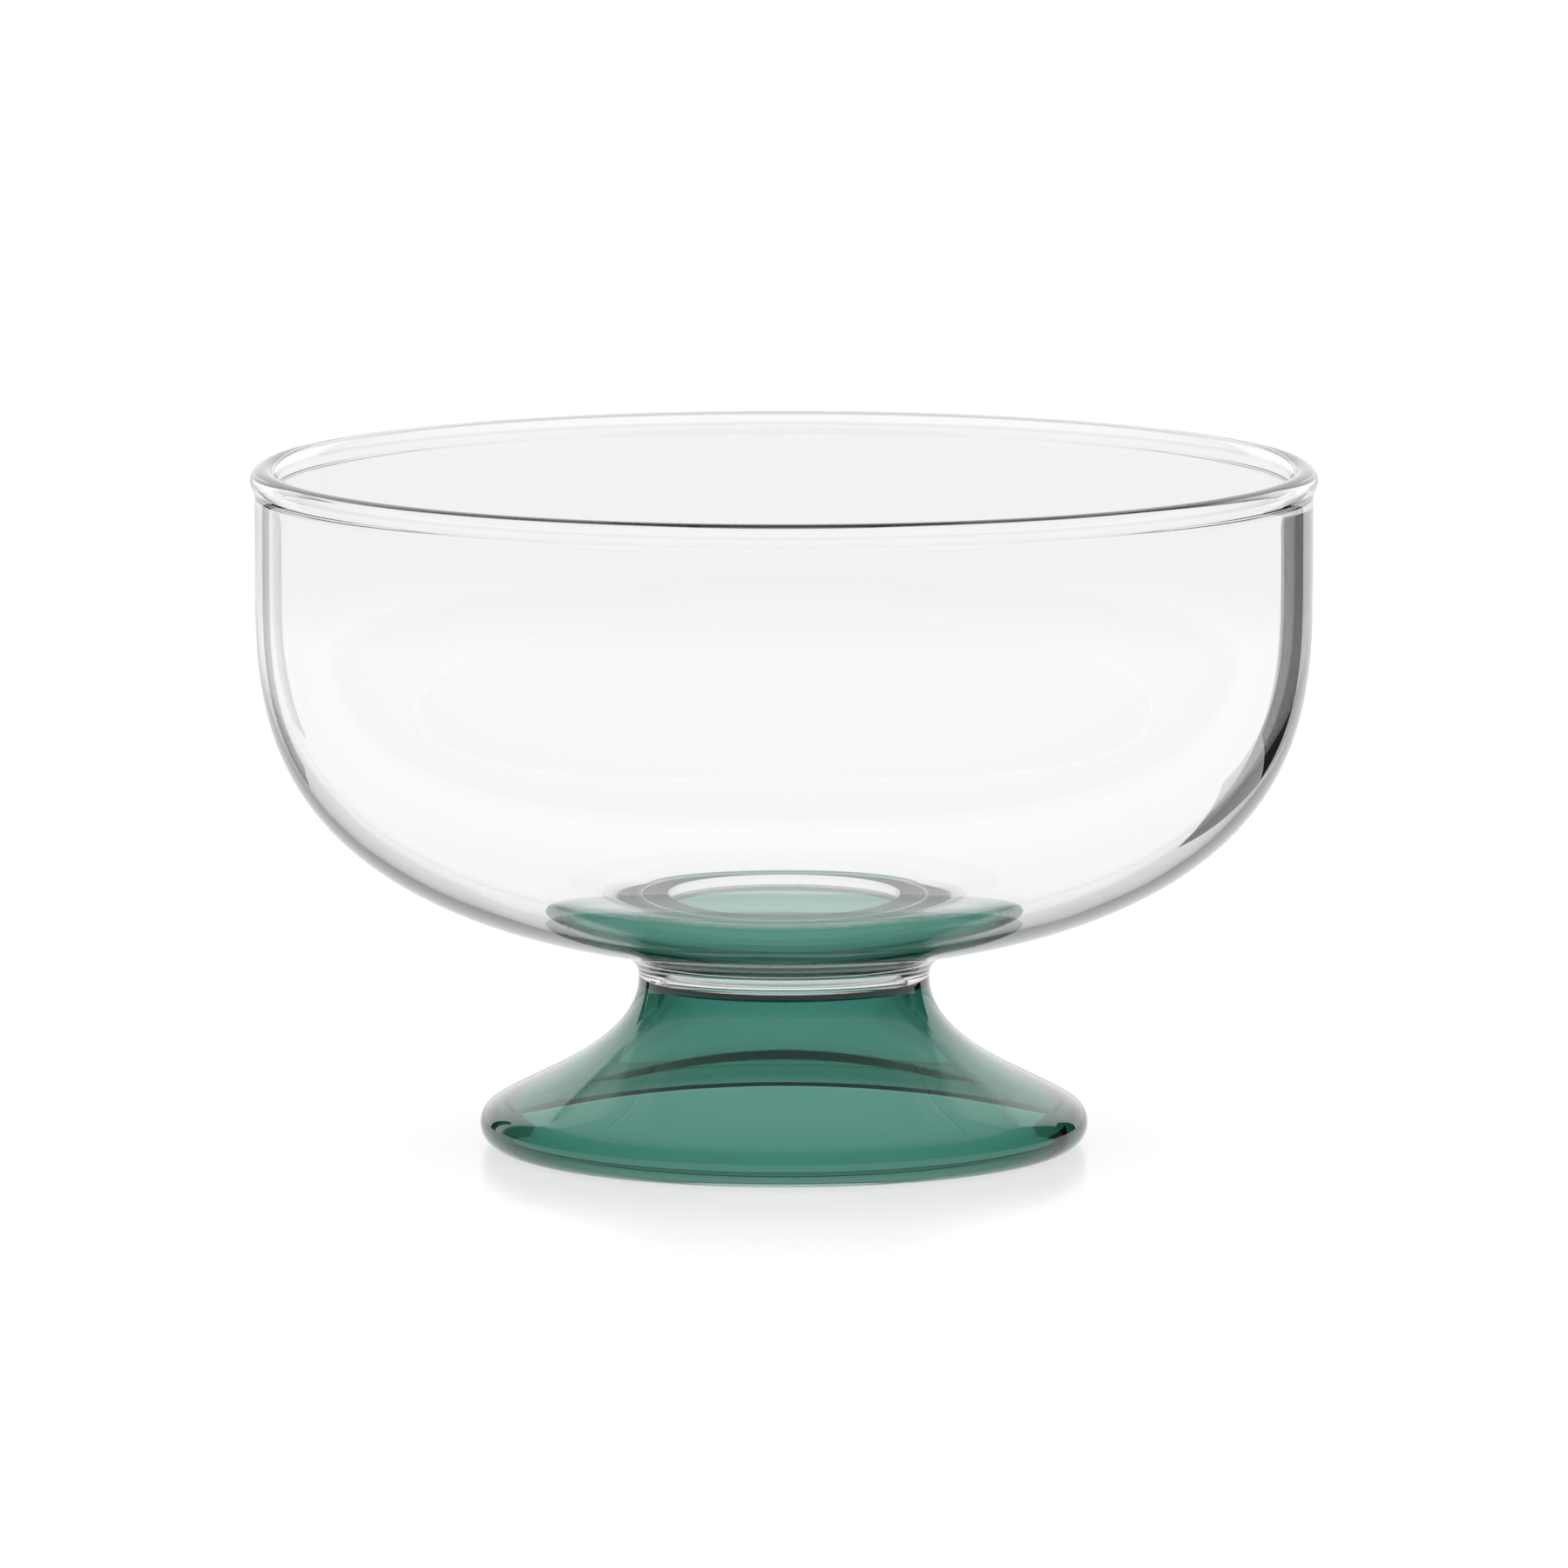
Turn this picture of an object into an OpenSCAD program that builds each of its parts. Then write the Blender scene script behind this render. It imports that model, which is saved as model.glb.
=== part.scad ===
// Footed dessert bowl of blown glass: a clear bowl, a clear neck ring and a hollow coloured foot.
// Each piece is a revolve about Z. The pieces are fused face to face and the foot stands on Z = 0.

/* [Bowl] */
// Outside diameter over the rim bead
rim_d = 120; // [100:1:150]
// Height of the bowl, from the lowest point of its underside to the top of the rim
bowl_h = 55.8; // [44:0.1:80]
// Height of the straight wall, down from the top of the rim
straight_h = 12; // [6:0.5:24]
// Thickness of the wall
bowl_wall = 2; // [1.5:0.1:4]
// Thickness of the bottom at the axis
bottom_t = 3; // [2:0.1:8]
// How far the fire-rounded rim bead stands out from each face of the wall
rim_proud = 0.5; // [0.2:0.1:1.5]
// Radius of the fillets that blend the bead into the wall
rim_fillet = 2; // [1:0.1:4]
// Squareness of the curve up the side, where 2 is an ellipse
side_round = 3; // [2:0.1:4]
// Flatness of the curve across the bottom, where 2 is an ellipse
bottom_round = 2.2; // [2:0.1:3]

/* [Neck ring] */
// Outside diameter of the neck at the seam between ring and foot
neck_d = 32.8; // [28:0.2:42]
// Thickness of the neck at that seam
neck_wall = 2.8; // [2:0.1:6]
// Height from the seam to the lowest point of the bowl
ring_h = 2; // [1.2:0.1:6]
// How far the ring spreads over the bowl's underside, out from the neck
ring_spread = 9; // [6:0.5:14]
// Height over which the ring leaves the neck upright
ring_rise = 1.5; // [0.6:0.1:3]
// Length of the ring's last run along the bowl's underside
ring_run = 3; // [1:0.5:5]

/* [Foot] */
// Outside diameter over the rounded edge
foot_d = 68.6; // [60:0.2:90]
// Height from the surface it stands on to the seam
foot_h = 19.2; // [15:0.1:40]
// Thickness of the wall where the flare meets the edge
foot_wall = 3; // [2:0.1:3.6]
// Diameter of the rounding outside the edge
edge_d = 5.3; // [4.6:0.1:6]
// Thickness of the edge where it turns down
edge_w = 3.2; // [3:0.1:5]
// Radius of the fillet inside that turn
edge_fillet = 1.5; // [0.8:0.1:2]
// Depth of glass ground away under the edge
ground_cut = 0.1; // [0.05:0.05:0.2]
// Radius of the rounding inside the ring ground flat
ground_round = 0.5; // [0.3:0.1:0.7]
// Height over which the flare leaves the neck upright
flare_drop = 8; // [4:0.5:12]
// Length of the flare's last run into the edge
flare_run = 4.5; // [2:0.5:8]
// Slope of that run
flare_slope = 36; // [20:1:45]

/* [Hidden] */
$fn = 180;

// Steps along each long curve and along each bead
curve_steps = 48;
bead_steps = 24;
// Depth to which the ring's outline runs on into the bowl before the bowl trims it
run_in = 0.1;

clear_glass = [0.90, 0.94, 0.94, 0.4];
green_glass = [0.25, 0.46, 0.40, 0.8];

seam_z = foot_h;
bowl_z = seam_z + ring_h;
rim_z = bowl_z + bowl_h;
straight_z = rim_z - straight_h;

bead_r = bowl_wall / 2 + rim_proud;
bead_z = rim_z - bead_r;
wall_r = rim_d / 2 - rim_proud;

neck_r = neck_d / 2;
bore_r = neck_r - neck_wall;

edge_r = edge_d / 2;
edge_center = [foot_d / 2 - edge_r, edge_r - ground_cut];

function reversed(points) = [for (i = [len(points) - 1 : -1 : 0]) points[i]];

function arc(center, r, from, to) = [
    for (i = [0 : bead_steps])
        let (a = from + (to - from) * i / bead_steps)
        center + r * [cos(a), sin(a)]
];

// Cubic curve between ends a and d with handles b and c
function curve(a, b, c, d) = [
    for (i = [0 : curve_steps])
        let (t = i / curve_steps, s = 1 - t)
        s * s * s * a + 3 * s * s * t * b + 3 * s * t * t * c + t * t * t * d
];

// Half outline of a rounded bowl, from its lowest point out to radius r and up to the straight wall
function rounded(r, bottom_z) = [
    for (i = [0 : curve_steps])
        let (a = 90 * i / curve_steps)
        [
            r * pow(sin(a), 2 / bottom_round),
            straight_z - (straight_z - bottom_z) * pow(cos(a), 2 / side_round)
        ]
];

// Point of the bowl's underside at distance x from the axis
function underside(x) = [
    x,
    straight_z - (straight_z - bowl_z) * pow(1 - pow(x / wall_r, bottom_round), 1 / side_round)
];

module bowl() {
    bead_x = wall_r - bowl_wall / 2;
    // Place of each fillet beside and below the bead, and the slope at which they meet
    fillet_x = bowl_wall / 2 + rim_fillet;
    fillet_z = sqrt(pow(bead_r + rim_fillet, 2) - fillet_x * fillet_x);
    fillet_angle = atan2(fillet_z, fillet_x);
    color(clear_glass)
        rotate_extrude()
            polygon(concat(
                rounded(wall_r, bowl_z),
                arc([bead_x + fillet_x, bead_z - fillet_z], rim_fillet, 180, 180 - fillet_angle),
                arc([bead_x, bead_z], bead_r, -fillet_angle, 180 + fillet_angle),
                arc([bead_x - fillet_x, bead_z - fillet_z], rim_fillet, fillet_angle, 0),
                reversed(rounded(wall_r - bowl_wall, bowl_z + bottom_t))
            ));
}

module neck_ring() {
    spread_x = neck_r + ring_spread;
    top = underside(spread_x) + [0, run_in];
    side = curve(
        [neck_r, seam_z],
        [neck_r, seam_z + ring_rise],
        underside(spread_x - ring_run),
        top
    );
    color(clear_glass)
        rotate_extrude()
            difference() {
                polygon(concat(side, [[bore_r, top.y], [bore_r, seam_z]]));
                polygon(concat(rounded(wall_r, bowl_z), [[0, straight_z]]));
            }
}

module foot() {
    along = [cos(flare_slope), -sin(flare_slope)];
    across = [sin(flare_slope), cos(flare_slope)];
    outer_end = edge_center + edge_r * across;
    // Slope of the rounding where the ground ring cuts it, and the ring's outer radius
    ground_angle = -asin(edge_center.y / edge_r);
    ground_x = edge_center.x + edge_r * cos(ground_angle);
    // The turn's inner face stands upright at this radius
    turn_r = foot_d / 2 - edge_w;
    // The fillet touches that face and the inner face of the flare
    fillet_x = turn_r - edge_fillet;
    inner_reach = edge_center * across + edge_r - foot_wall - edge_fillet;
    fillet_center = [fillet_x, (inner_reach - fillet_x * across.x) / across.y];
    inner_end = fillet_center + edge_fillet * across;
    inner_round = min(ground_round, ground_x - turn_r - 0.2, fillet_center.y);
    color(green_glass)
        rotate_extrude()
            polygon(concat(
                curve(
                    [neck_r, seam_z],
                    [neck_r, seam_z - flare_drop],
                    outer_end - flare_run * along,
                    outer_end
                ),
                arc(edge_center, edge_r, 90 - flare_slope, ground_angle),
                arc([turn_r + inner_round, inner_round], inner_round, 270, 180),
                arc(fillet_center, edge_fillet, 0, 90 - flare_slope),
                curve(
                    inner_end,
                    inner_end - flare_run * along,
                    [bore_r, seam_z - flare_drop],
                    [bore_r, seam_z]
                )
            ));
}

bowl();
neck_ring();
foot();
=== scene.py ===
import bpy
import bmesh
import math
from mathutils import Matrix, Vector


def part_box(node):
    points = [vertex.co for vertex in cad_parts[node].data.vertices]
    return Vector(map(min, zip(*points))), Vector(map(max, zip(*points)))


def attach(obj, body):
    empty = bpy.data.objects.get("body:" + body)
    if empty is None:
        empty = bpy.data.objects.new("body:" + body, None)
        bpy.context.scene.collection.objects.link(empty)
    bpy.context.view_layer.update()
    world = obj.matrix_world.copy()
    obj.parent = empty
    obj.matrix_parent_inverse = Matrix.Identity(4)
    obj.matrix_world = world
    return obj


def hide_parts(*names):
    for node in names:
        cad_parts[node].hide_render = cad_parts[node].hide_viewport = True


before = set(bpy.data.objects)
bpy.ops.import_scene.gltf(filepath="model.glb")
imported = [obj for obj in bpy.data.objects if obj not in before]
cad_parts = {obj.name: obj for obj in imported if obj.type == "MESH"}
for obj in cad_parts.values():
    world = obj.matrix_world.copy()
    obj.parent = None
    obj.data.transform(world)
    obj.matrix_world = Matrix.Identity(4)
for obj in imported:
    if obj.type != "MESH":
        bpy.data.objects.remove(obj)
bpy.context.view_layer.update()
mm = 0.001
print("frame loaded:", sorted(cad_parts))

# outlines are lists of (distance from the axis, height), in millimetres
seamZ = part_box("foot")[1].z / mm
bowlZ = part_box("bowl")[0].z / mm
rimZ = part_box("bowl")[1].z / mm

# fused faces overlap by a hair, so that light crosses them without a film of air
weld = 0.02
# points closer than this become one, and edges that turn by more degrees than this stay sharp
mergeGap = 0.002
sharpTurn = 30.0


def arcLine(center, radius, fromDeg, toDeg, steps):
    line = []
    for i in range(steps + 1):
        a = math.radians(fromDeg + (toDeg - fromDeg) * i / steps)
        line.append((center[0] + radius * math.cos(a), center[1] + radius * math.sin(a)))
    return line


def cubicLine(a, b, c, d, steps):
    line = []
    for i in range(steps + 1):
        t = i / steps
        s = 1 - t
        weights = (s * s * s, 3 * s * s * t, 3 * s * t * t, t * t * t)
        line.append(tuple(sum(w * p[k] for w, p in zip(weights, (a, b, c, d))) for k in (0, 1)))
    return line


def spinOutline(name, line, turns):
    # one vertex is extruded along the outline, then the outline is spun round Z
    bpy.ops.object.select_all(action="DESELECT")
    bpy.ops.mesh.primitive_plane_add(size=mm, location=(0, 0, 0))
    piece = bpy.context.object
    piece.name = name
    piece.data.name = name
    bpy.ops.object.mode_set(mode="EDIT")
    bpy.ops.mesh.select_all(action="SELECT")
    bpy.ops.mesh.merge(type="CENTER")
    here = (0.0, 0.0)
    for i, point in enumerate(line):
        step = ((point[0] - here[0]) * mm, 0, (point[1] - here[1]) * mm)
        if i == 0:
            bpy.ops.transform.translate(value=step)
        else:
            bpy.ops.mesh.extrude_region_move(TRANSFORM_OT_translate={"value": step})
        here = point
    bpy.ops.mesh.select_all(action="SELECT")
    bpy.ops.mesh.spin(steps=turns, angle=2 * math.pi, center=(0, 0, 0), axis=(0, 0, 1))
    bpy.ops.mesh.select_all(action="SELECT")
    bpy.ops.mesh.remove_doubles(threshold=mergeGap * mm)
    bpy.ops.mesh.normals_make_consistent(inside=False)
    if bmesh.from_edit_mesh(piece.data).calc_volume(signed=True) < 0:
        bpy.ops.mesh.flip_normals()
    bpy.ops.object.mode_set(mode="OBJECT")
    bpy.ops.object.shade_smooth_by_angle(angle=math.radians(sharpTurn))
    print("spun", name, len(piece.data.vertices), "vertices")
    return piece


bowl = {
    "rimRadius": 60.0,
    "rimProud": 0.5,  # how far the bead stands out from each face of the wall
    "rimFillet": 2.0,
    "wall": 2.0,
    "bottom": 3.0,
    "straight": 12.0,  # straight wall below the top of the rim
    # squareness of the curve up the side and across the bottom, where 2 is an ellipse
    "sideRound": 3.0,
    "bottomRound": 2.2,
    "curveSteps": 72,
    "riseSteps": 8,
    "beadSteps": 40,
    "filletSteps": 8,
    "turns": 288,
}


def roundedLine(radius, topZ, bottomZ):
    line = []
    for i in range(bowl["curveSteps"] + 1):
        a = math.pi / 2 * i / bowl["curveSteps"]
        r = radius * math.sin(a) ** (2 / bowl["bottomRound"])
        drop = (topZ - bottomZ) * max(math.cos(a), 0.0) ** (2 / bowl["sideRound"])
        line.append((r, topZ - drop))
    return line


def undersideZ(r):
    top = rimZ - bowl["straight"]
    outside = bowl["rimRadius"] - bowl["rimProud"]
    share = 1 - (r / outside) ** bowl["bottomRound"]
    return top - (top - bowlZ) * share ** (1 / bowl["sideRound"])


def makeBowl():
    outside = bowl["rimRadius"] - bowl["rimProud"]
    inside = outside - bowl["wall"]
    beadRadius = bowl["wall"] / 2 + bowl["rimProud"]
    beadX, beadZ = outside - bowl["wall"] / 2, rimZ - beadRadius
    straightZ = rimZ - bowl["straight"]
    # fillets that blend the bead into both faces of the wall
    fillet = bowl["rimFillet"]
    reach = bowl["wall"] / 2 + fillet
    below = math.sqrt((beadRadius + fillet) ** 2 - reach ** 2)
    turn = math.degrees(math.atan2(below, reach))
    filletZ = beadZ - below
    steps = bowl["filletSteps"]
    outerFillet = arcLine((beadX + reach, filletZ), fillet, 180, 180 - turn, steps)
    innerFillet = arcLine((beadX - reach, filletZ), fillet, turn, 0, steps)
    bead = arcLine((beadX, beadZ), beadRadius, -turn, 180 + turn, bowl["beadSteps"])
    steps = bowl["riseSteps"]
    rise = [straightZ + (filletZ - straightZ) * i / steps for i in range(1, steps)]
    line = roundedLine(outside, straightZ, bowlZ)
    line += [(outside, z) for z in rise] + outerFillet[:-1]
    line += bead
    line += innerFillet[1:] + [(inside, z) for z in reversed(rise)]
    line += reversed(roundedLine(inside, straightZ, bowlZ + bowl["bottom"]))
    return spinOutline("bowl_glass", line, bowl["turns"])


neck = {
    "radius": 16.4,
    "wall": 2.8,
    "spread": 9.0,  # how far the ring spreads over the bowl's underside
    # lengths over which its side leaves the neck upright and runs along the underside
    "rise": 3.0,
    "run": 4.0,
    "curveSteps": 40,
    "turns": 256,
}


def makeNeck():
    bore = neck["radius"] - neck["wall"]
    spreadR = neck["radius"] + neck["spread"]
    runR = spreadR - neck["run"]
    side = cubicLine(
        (neck["radius"], seamZ),
        (neck["radius"], seamZ + neck["rise"]),
        (runR, undersideZ(runR)),
        (spreadR, undersideZ(spreadR) + weld),
        neck["curveSteps"],
    )
    top = []
    for i in range(1, neck["curveSteps"] + 1):
        r = spreadR + (bore - spreadR) * i / neck["curveSteps"]
        top.append((r, undersideZ(r) + weld))
    line = [(bore, seamZ - weld), (neck["radius"], seamZ - weld)] + side + top
    line.append(line[0])
    return spinOutline("neck_ring_glass", line, neck["turns"])


foot = {
    "radius": 34.3,
    "wall": 2.4,
    "edge": 5.3,  # diameter of the rounding outside the edge
    "turn": 3.2,  # thickness of the edge where it turns down
    "fillet": 1.5,
    # glass ground away under the edge, and the rounding inside the ground ring
    "cut": 0.1,
    "round": 0.5,
    # lengths over which the flare leaves the neck upright and runs into the edge, and its slope
    "drop": 8.0,
    "run": 4.5,
    "slope": 36.0,
    "curveSteps": 72,
    "beadSteps": 30,
    "filletSteps": 10,
    "turns": 288,
    # the edge is folded under at the back: height there, reach to each side in degrees,
    # thickness, and the height over which the thickness fades out
    "foldRise": 7.0,
    "foldReach": 75.0,
    "foldDeep": 0.8,
    "foldStep": 0.6,
}


def foldTop(bearing):
    share = max(0.0, 1 - (bearing / foot["foldReach"]) ** 2)
    return foot["foldRise"] * share


def foldEdge(piece):
    # glass folded under at the back thickens the inner face up to an arched line
    fold = piece.vertex_groups.new(name="fold")
    for vertex in piece.data.vertices:
        x, y, z = (c / mm for c in vertex.co)
        inner = vertex.normal.x * x + vertex.normal.y * y < 0
        below = (foldTop(math.degrees(math.atan2(x, y))) - z) / foot["foldStep"]
        above = (z - foot["round"]) / foot["foldStep"]
        if inner and below > 0 and above > 0:
            fold.add([vertex.index], min(below, above, 1.0), "REPLACE")
    bpy.ops.object.modifier_add(type="DISPLACE")
    thicken = piece.modifiers[-1]
    thicken.vertex_group = fold.name
    thicken.mid_level = 0.0
    thicken.strength = foot["foldDeep"] * mm
    bpy.ops.object.modifier_apply(modifier=thicken.name)
    bpy.ops.object.vertex_group_remove(all=True)
    print("edge folded under at the back")


def makeFoot():
    slope = math.radians(foot["slope"])
    along = (math.cos(slope), -math.sin(slope))
    across = (math.sin(slope), math.cos(slope))
    edgeR = foot["edge"] / 2
    center = (foot["radius"] - edgeR, edgeR - foot["cut"])
    outerEnd = tuple(center[k] + edgeR * across[k] for k in (0, 1))
    groundDeg = -math.degrees(math.asin(center[1] / edgeR))
    # the edge turns down, and a fillet blends the inner face of the flare into the turn
    turnR = foot["radius"] - foot["turn"]
    fillet = foot["fillet"]
    filletX = turnR - fillet
    reach = center[0] * across[0] + center[1] * across[1] + edgeR - foot["wall"] - fillet
    hollow = (filletX, (reach - filletX * across[0]) / across[1])
    innerEnd = tuple(hollow[k] + fillet * across[k] for k in (0, 1))
    bore = neck["radius"] - neck["wall"]
    steps = foot["filletSteps"]
    line = cubicLine(
        (neck["radius"], seamZ),
        (neck["radius"], seamZ - foot["drop"]),
        tuple(outerEnd[k] - foot["run"] * along[k] for k in (0, 1)),
        outerEnd,
        foot["curveSteps"],
    )
    line += arcLine(center, edgeR, 90 - foot["slope"], groundDeg, foot["beadSteps"])[1:]
    line += arcLine((turnR + foot["round"], foot["round"]), foot["round"], 270, 180, steps)
    line += arcLine(hollow, fillet, 0, 90 - foot["slope"], steps)
    line += cubicLine(
        innerEnd,
        tuple(innerEnd[k] - foot["run"] * along[k] for k in (0, 1)),
        (bore, seamZ - foot["drop"]),
        (bore, seamZ),
        foot["curveSteps"],
    )[1:]
    line.append(line[0])
    piece = spinOutline("foot_glass", line, foot["turns"])
    foldEdge(piece)
    return piece


# slow ripples that the flame leaves on blown glass
ripple = {
    "scale": 60.0,
    "detail": 1.0,
    "roughness": 0.4,
}

# a dark line is drawn round the top of the bowl and of the foot, on the bowl as painted shade: the
# height over which it fades in, and how far behind the axis its strength has changed from the
# front's to the back's
drawnLine = {
    "blend": 0.1,
    "depth": 25.0,
}

clearGlass = {
    "tint": (1.0, 1.0, 0.998, 1.0),
    "ior": 1.473,
    # painted shade along the crest of the rim: a dark line standing in for the dark edge of the
    # rim, darker at the front than at the back; its colour, the height where it begins, and how
    # strong it is at the front and at the back
    "line": (0.015, 0.013, 0.009, 1.0),
    "lineFrom": rimZ - 0.38,
    "lineStrength": (1.0, 0.45),
    "waveHeight": 0.02 * mm,
}

greenGlass = {
    "tint": (1.0, 1.0, 1.0, 1.0),
    "ior": 1.48,
    # dark line drawn round the top of the green foot, just under its seam with the clear ring
    "line": (0.012, 0.035, 0.026, 1.0),
    "lineFrom": seamZ - 0.85,
    "lineStrength": (1.0, 1.0),
    "absorb": (0.04, 0.51, 0.42, 1.0),
    "density": 600.0,
    "waveHeight": 0.03 * mm,
}


def makeWaves():
    group = bpy.data.node_groups.new("flameRipple", "ShaderNodeTree")
    group.interface.new_socket("Scale", in_out="INPUT", socket_type="NodeSocketFloat")
    group.interface.new_socket("Height", in_out="OUTPUT", socket_type="NodeSocketFloat")
    nodes, links = group.nodes, group.links
    entry = nodes.new("NodeGroupInput")
    leave = nodes.new("NodeGroupOutput")
    place = nodes.new("ShaderNodeTexCoord")
    noise = nodes.new("ShaderNodeTexNoise")
    noise.inputs["Detail"].default_value = ripple["detail"]
    noise.inputs["Roughness"].default_value = ripple["roughness"]
    links.new(place.outputs["Object"], noise.inputs["Vector"])
    links.new(entry.outputs["Scale"], noise.inputs["Scale"])
    links.new(noise.outputs["Fac"], leave.inputs["Height"])
    return group


def makeLineColor(nodes, links, look):
    # the glass's tint, with the dark line mixed in by height and by depth; on the rim this line is
    # painted shade
    place = nodes.new("ShaderNodeTexCoord")
    parts = nodes.new("ShaderNodeSeparateXYZ")
    links.new(place.outputs["Object"], parts.inputs["Vector"])
    crest = nodes.new("ShaderNodeMapRange")
    crest.inputs["From Min"].default_value = look["lineFrom"] * mm
    crest.inputs["From Max"].default_value = (look["lineFrom"] + drawnLine["blend"]) * mm
    links.new(parts.outputs["Z"], crest.inputs["Value"])
    front, back = look["lineStrength"]
    strength = nodes.new("ShaderNodeMapRange")
    strength.inputs["From Min"].default_value = 0.0
    strength.inputs["From Max"].default_value = drawnLine["depth"] * mm
    strength.inputs["To Min"].default_value = front
    strength.inputs["To Max"].default_value = back
    links.new(parts.outputs["Y"], strength.inputs["Value"])
    drawn = nodes.new("ShaderNodeMath")
    drawn.operation = "MULTIPLY"
    links.new(crest.outputs["Result"], drawn.inputs[0])
    links.new(strength.outputs["Result"], drawn.inputs[1])
    # dark line mixed into the tint, painted shade on the rim
    darkLineMix = nodes.new("ShaderNodeMix")
    darkLineMix.data_type = "RGBA"
    darkLineMix.inputs["A"].default_value = look["tint"]
    darkLineMix.inputs["B"].default_value = look["line"]
    links.new(drawn.outputs["Value"], darkLineMix.inputs["Factor"])
    return darkLineMix.outputs["Result"]


def makeGlass(name, look, waves):
    material = bpy.data.materials.new(name)
    material.use_nodes = True
    nodes, links = material.node_tree.nodes, material.node_tree.links
    shader = nodes["Principled BSDF"]
    shader.inputs["Base Color"].default_value = look["tint"]
    shader.inputs["Roughness"].default_value = 0.0
    shader.inputs["IOR"].default_value = look["ior"]
    shader.inputs["Transmission Weight"].default_value = 1.0
    links.new(makeLineColor(nodes, links, look), shader.inputs["Base Color"])
    wave = nodes.new("ShaderNodeGroup")
    wave.node_tree = waves
    wave.inputs["Scale"].default_value = ripple["scale"]
    bump = nodes.new("ShaderNodeBump")
    bump.inputs["Distance"].default_value = look["waveHeight"]
    links.new(wave.outputs["Height"], bump.inputs["Height"])
    links.new(bump.outputs["Normal"], shader.inputs["Normal"])
    if "absorb" in look:
        absorb = nodes.new("ShaderNodeVolumeAbsorption")
        absorb.inputs["Color"].default_value = look["absorb"]
        absorb.inputs["Density"].default_value = look["density"]
        links.new(absorb.outputs["Volume"], nodes["Material Output"].inputs["Volume"])
    return material


def dress(piece, material, node):
    piece.data.materials.clear()
    piece.data.materials.append(material)
    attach(piece, "root")
    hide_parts(node)


waves = makeWaves()
clearMaterial = makeGlass("blown_clear", clearGlass, waves)
greenMaterial = makeGlass("blown_green", greenGlass, waves)
dress(makeBowl(), clearMaterial, "bowl")
dress(makeNeck(), clearMaterial, "neck_ring")
dress(makeFoot(), greenMaterial, "foot")
print("glass pieces made")

studio = {
    "floorSize": 6.0,
    "floorColor": (0.24, 0.24, 0.24, 1.0),
    # own white of the floor at distances from the axis in metres, as the camera sees it
    "floorGlow": [
        (0.0, (0.80, 0.80, 0.80)),
        (0.04, (0.80, 0.80, 0.80)),
        (0.08, (1.0, 1.0, 1.0)),
    ],
    # glow of the floor as the glass sees it: a painted green shadow inside the foot, painted shade
    # under its edge and near it, white further out and painted dimming far away
    "floorSeen": [
        (0.0, (0.34, 0.56, 0.50)),
        (0.0305, (0.34, 0.56, 0.50)),
        (0.0325, (0.92, 0.94, 0.93)),
        (0.045, (0.95, 0.96, 0.96)),
        (0.120, (1.0, 1.0, 1.0)),
        (0.400, (1.0, 1.0, 1.0)),
        (0.560, (0.89, 0.89, 0.89)),
    ],
    "floorGloss": 0.20,
    "floorRough": 0.16,
    # half angle of the white backdrop in degrees, its level and the level of the room round it,
    # as reflected rays and as rays through the glass see them, and how soft its border is
    "mirrored": (46.0, 1.3, 0.12),
    "through": (46.0, 0.92, 0.45),
    "borderBlend": 0.02,
    # dark flags: place and top in millimetres, the least and most surfaces that a ray has met
    # before it sees the flag, and whether the last of them reflects it
    "flags": [
        {"x": (65, 100), "y": 40, "top": 68, "met": (3, 4), "mirrored": False},
        {"x": (110, 165), "y": 101, "top": 62, "met": (1, 1), "mirrored": True},
        {"x": (-142, -97), "y": 160, "top": 64, "met": (4, 4), "mirrored": False},
        {"x": (-122, -103), "y": 101, "top": 62, "met": (1, 1), "mirrored": True},
    ],
    "flagGlow": 0.02,
    "metMargin": 0.1,  # counts are compared as decimals, so the range is a little wider
}


def makeRamp(nodes, links, stops):
    # colour that changes with the distance from the object's axis, from (metres, colour) stops
    reachEnd = stops[-1][0]
    place = nodes.new("ShaderNodeTexCoord")
    length = nodes.new("ShaderNodeVectorMath")
    length.operation = "LENGTH"
    links.new(place.outputs["Object"], length.inputs[0])
    ramp = nodes.new("ShaderNodeValToRGB")
    share = nodes.new("ShaderNodeMath")
    share.operation = "DIVIDE"
    share.inputs[1].default_value = reachEnd
    links.new(length.outputs["Value"], share.inputs[0])
    links.new(share.outputs["Value"], ramp.inputs["Fac"])
    points = ramp.color_ramp.elements
    while len(points) < len(stops):
        points.new(0.5)
    for point, (reach, color) in zip(points, stops):
        point.position = reach / reachEnd
        point.color = (*color, 1.0)
    return ramp.outputs["Color"]


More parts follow.
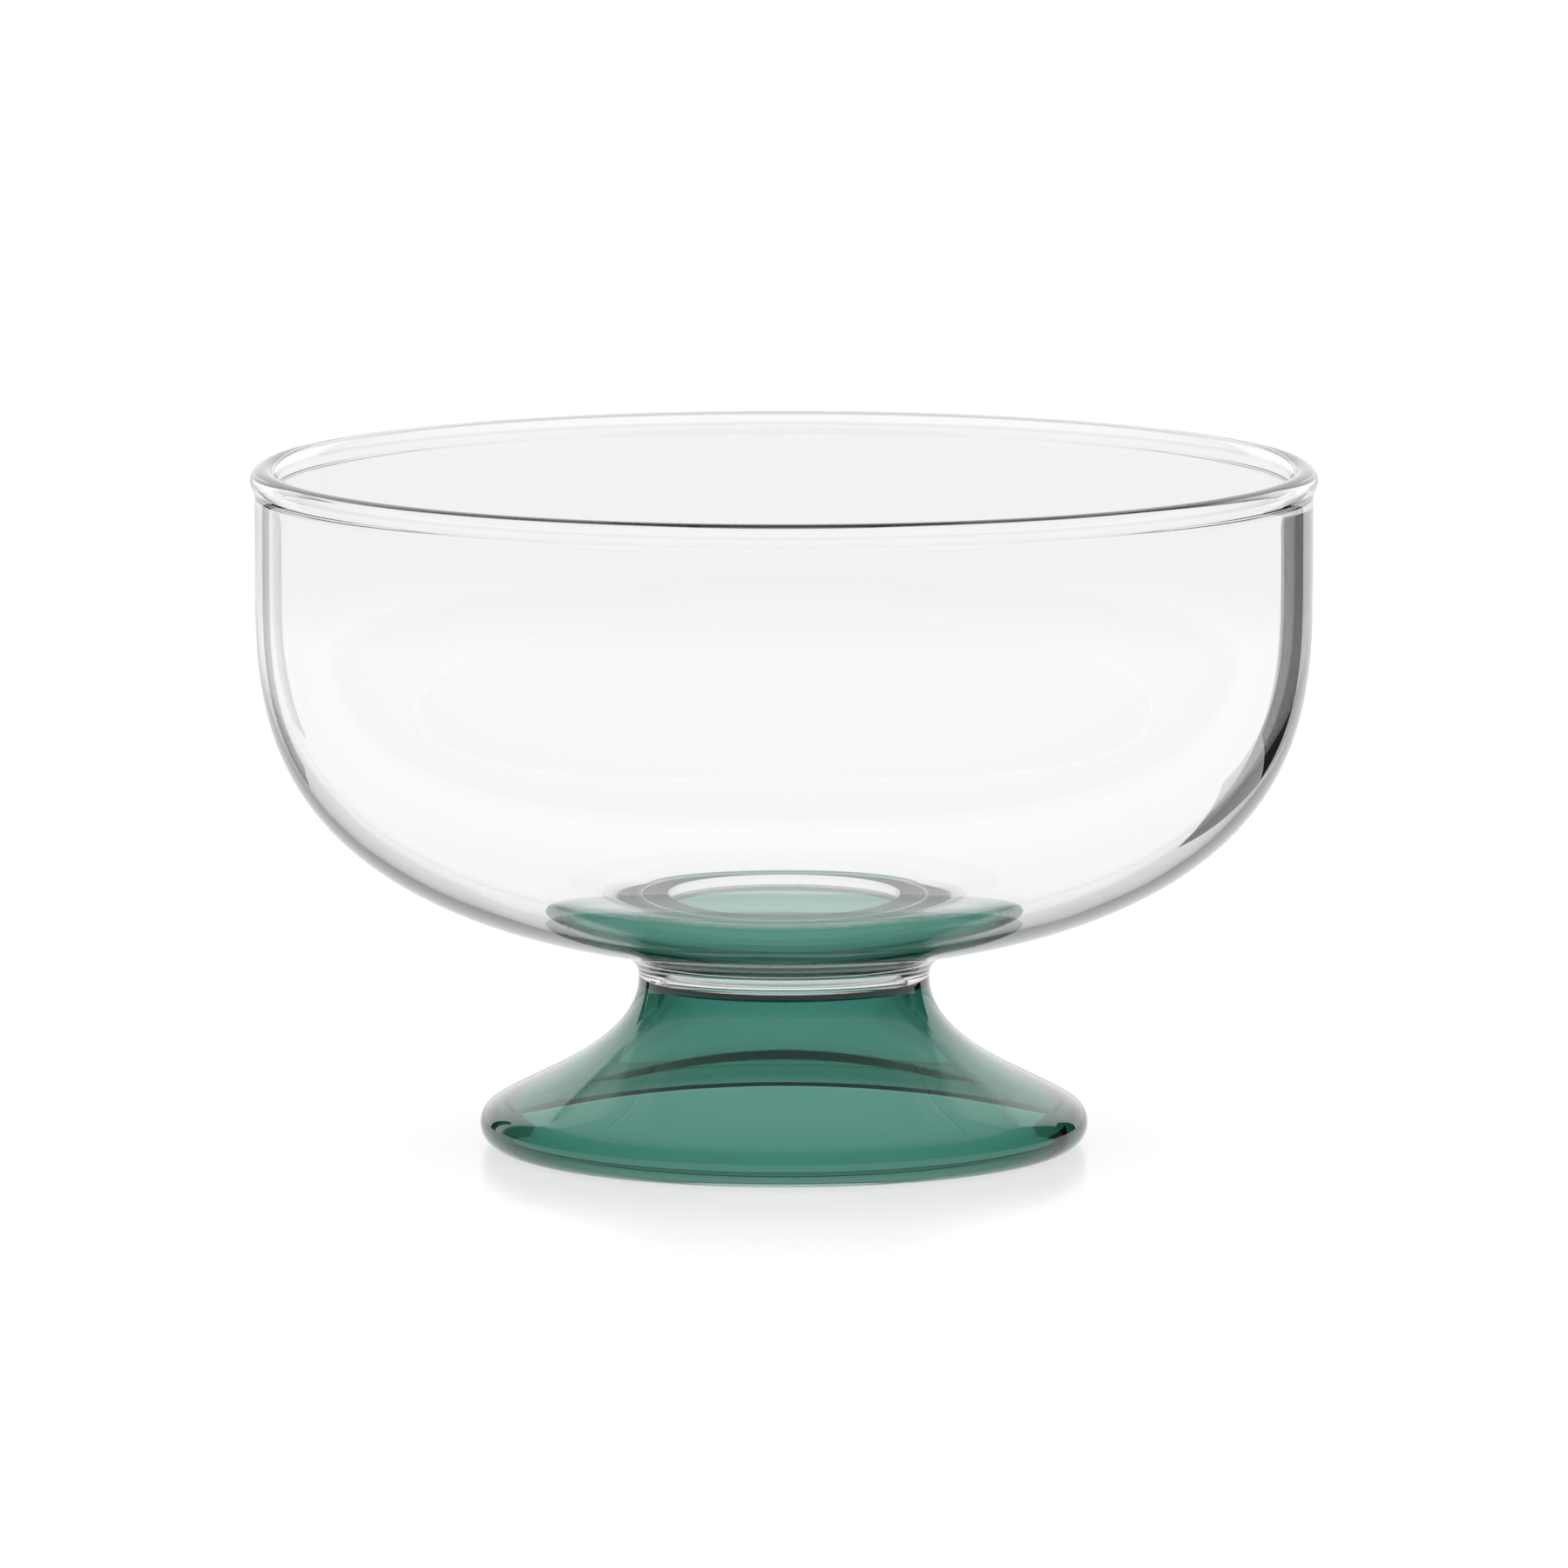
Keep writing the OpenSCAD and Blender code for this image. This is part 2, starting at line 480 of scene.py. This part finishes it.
def makeFloor():
    bpy.ops.object.select_all(action="DESELECT")
    bpy.ops.mesh.primitive_plane_add(size=studio["floorSize"], location=(0, 0, 0))
    floor = bpy.context.object
    floor.name = "floor"
    material = bpy.data.materials.new("pale_floor")
    material.use_nodes = True
    nodes, links = material.node_tree.nodes, material.node_tree.links
    shader = nodes["Principled BSDF"]
    shader.inputs["Base Color"].default_value = studio["floorColor"]
    shader.inputs["Roughness"].default_value = 1.0
    shader.inputs["Specular IOR Level"].default_value = 0.0
    glow = nodes.new("ShaderNodeEmission")
    links.new(makeRamp(nodes, links, studio["floorGlow"]), glow.inputs["Color"])
    both = nodes.new("ShaderNodeAddShader")
    links.new(shader.outputs["BSDF"], both.inputs[0])
    links.new(glow.outputs["Emission"], both.inputs[1])
    sheen = nodes.new("ShaderNodeBsdfGlossy")
    sheen.inputs["Roughness"].default_value = studio["floorRough"]
    polished = nodes.new("ShaderNodeMixShader")
    polished.inputs["Fac"].default_value = studio["floorGloss"]
    links.new(both.outputs["Shader"], polished.inputs[1])
    links.new(sheen.outputs["BSDF"], polished.inputs[2])
    # rays from the glass see the floor as a glow holding a painted green shadow and painted shade
    # round the foot
    seen = nodes.new("ShaderNodeEmission")
    links.new(makeRamp(nodes, links, studio["floorSeen"]), seen.inputs["Color"])
    path = nodes.new("ShaderNodeLightPath")
    choice = nodes.new("ShaderNodeMixShader")
    links.new(path.outputs["Is Camera Ray"], choice.inputs["Fac"])
    links.new(seen.outputs["Emission"], choice.inputs[1])
    links.new(polished.outputs["Shader"], choice.inputs[2])
    links.new(choice.outputs["Shader"], nodes["Material Output"].inputs["Surface"])
    floor.data.materials.append(material)


def makeFlagMaterial(name, least, most):
    # black for rays that have met so many surfaces, and clear for all others
    material = bpy.data.materials.new(name)
    material.use_nodes = True
    nodes, links = material.node_tree.nodes, material.node_tree.links
    dark = nodes.new("ShaderNodeEmission")
    dark.inputs["Strength"].default_value = studio["flagGlow"]
    clear = nodes.new("ShaderNodeBsdfTransparent")
    path = nodes.new("ShaderNodeLightPath")
    near = nodes.new("ShaderNodeMath")
    near.operation = "COMPARE"
    near.inputs[1].default_value = (least + most) / 2
    near.inputs[2].default_value = (most - least) / 2 + studio["metMargin"]
    links.new(path.outputs["Ray Depth"], near.inputs[0])
    choice = nodes.new("ShaderNodeMixShader")
    links.new(near.outputs["Value"], choice.inputs["Fac"])
    links.new(clear.outputs["BSDF"], choice.inputs[1])
    links.new(dark.outputs["Emission"], choice.inputs[2])
    links.new(choice.outputs["Shader"], nodes["Material Output"].inputs["Surface"])
    return material


def makeFlags():
    # black cards that draw the dark lines along the glass walls
    for i, card in enumerate(studio["flags"]):
        fromX, toX = card["x"]
        middle = ((fromX + toX) / 2 * mm, card["y"] * mm, card["top"] / 2 * mm)
        bpy.ops.object.select_all(action="DESELECT")
        bpy.ops.mesh.primitive_plane_add(size=1.0, location=middle)
        flag = bpy.context.object
        flag.name = f"flag_{i}"
        flag.scale = ((toX - fromX) * mm, card["top"] * mm, 1.0)
        flag.rotation_euler = (math.pi / 2, 0, 0)
        flag.data.materials.append(makeFlagMaterial(f"black_flag_{i}", *card["met"]))
        flag.visible_camera = False
        flag.visible_diffuse = False
        flag.visible_glossy = card["mirrored"]
        flag.visible_transmission = not card["mirrored"]
        flag.visible_shadow = False


def makeBackdrop(nodes, links, ahead, halfAngle, white, dim):
    # level of the room, which is white inside a cone behind the object and dim round it
    border = math.cos(math.radians(halfAngle))
    cone = nodes.new("ShaderNodeMapRange")
    cone.inputs["From Min"].default_value = border - studio["borderBlend"]
    cone.inputs["From Max"].default_value = border + studio["borderBlend"]
    cone.inputs["To Min"].default_value = dim
    cone.inputs["To Max"].default_value = white
    links.new(ahead, cone.inputs["Value"])
    return cone.outputs["Result"]


def makeLight():
    world = bpy.data.worlds.new("white_studio")
    bpy.context.scene.world = world
    world.use_nodes = True
    nodes, links = world.node_tree.nodes, world.node_tree.links
    sky = nodes["Background"]
    sky.inputs["Color"].default_value = (1.0, 1.0, 1.0, 1.0)
    # the glass sees a white backdrop behind the object and a dim room round it
    place = nodes.new("ShaderNodeTexCoord")
    facing = nodes.new("ShaderNodeVectorMath")
    facing.operation = "DOT_PRODUCT"
    facing.inputs[1].default_value = (0.0, 1.0, 0.0)
    links.new(place.outputs["Generated"], facing.inputs[0])
    ahead = facing.outputs["Value"]
    path = nodes.new("ShaderNodeLightPath")
    room = nodes.new("ShaderNodeMix")
    links.new(path.outputs["Is Reflection Ray"], room.inputs["Factor"])
    links.new(makeBackdrop(nodes, links, ahead, *studio["through"]), room.inputs["A"])
    links.new(makeBackdrop(nodes, links, ahead, *studio["mirrored"]), room.inputs["B"])
    # light on its way to the floor comes from a sky that is white all over
    straight = nodes.new("ShaderNodeMath")
    straight.operation = "SUBTRACT"
    straight.use_clamp = True
    links.new(path.outputs["Is Glossy Ray"], straight.inputs[0])
    links.new(path.outputs["Diffuse Depth"], straight.inputs[1])
    level = nodes.new("ShaderNodeMix")
    links.new(straight.outputs["Value"], level.inputs["Factor"])
    level.inputs["A"].default_value = 1.0
    links.new(room.outputs["Result"], level.inputs["B"])
    links.new(level.outputs["Result"], sky.inputs["Strength"])


camera = {
    # distance from the point it looks at, that point's height and the near and far clip, in metres
    "distance": 1.750,
    "aim": 0.0409,
    "clip": (0.05, 50.0),
    "elevation": 7.44,  # degrees above the horizontal
    "lens": 356.65,
    "sensor": 36.0,
}


def makeCamera():
    data = bpy.data.cameras.new("camera")
    view = bpy.data.objects.new("camera", data)
    bpy.context.scene.collection.objects.link(view)
    tilt = math.radians(camera["elevation"])
    view.location = (
        0,
        -camera["distance"] * math.cos(tilt),
        camera["aim"] + camera["distance"] * math.sin(tilt),
    )
    view.rotation_euler = (math.pi / 2 - tilt, 0, 0)
    data.sensor_width = camera["sensor"]
    data.lens = camera["lens"]
    data.clip_start, data.clip_end = camera["clip"]
    bpy.context.scene.camera = view


makeFloor()
makeFlags()
makeLight()
makeCamera()
bpy.context.scene.view_settings.view_transform = "Standard"
print("studio and camera set")
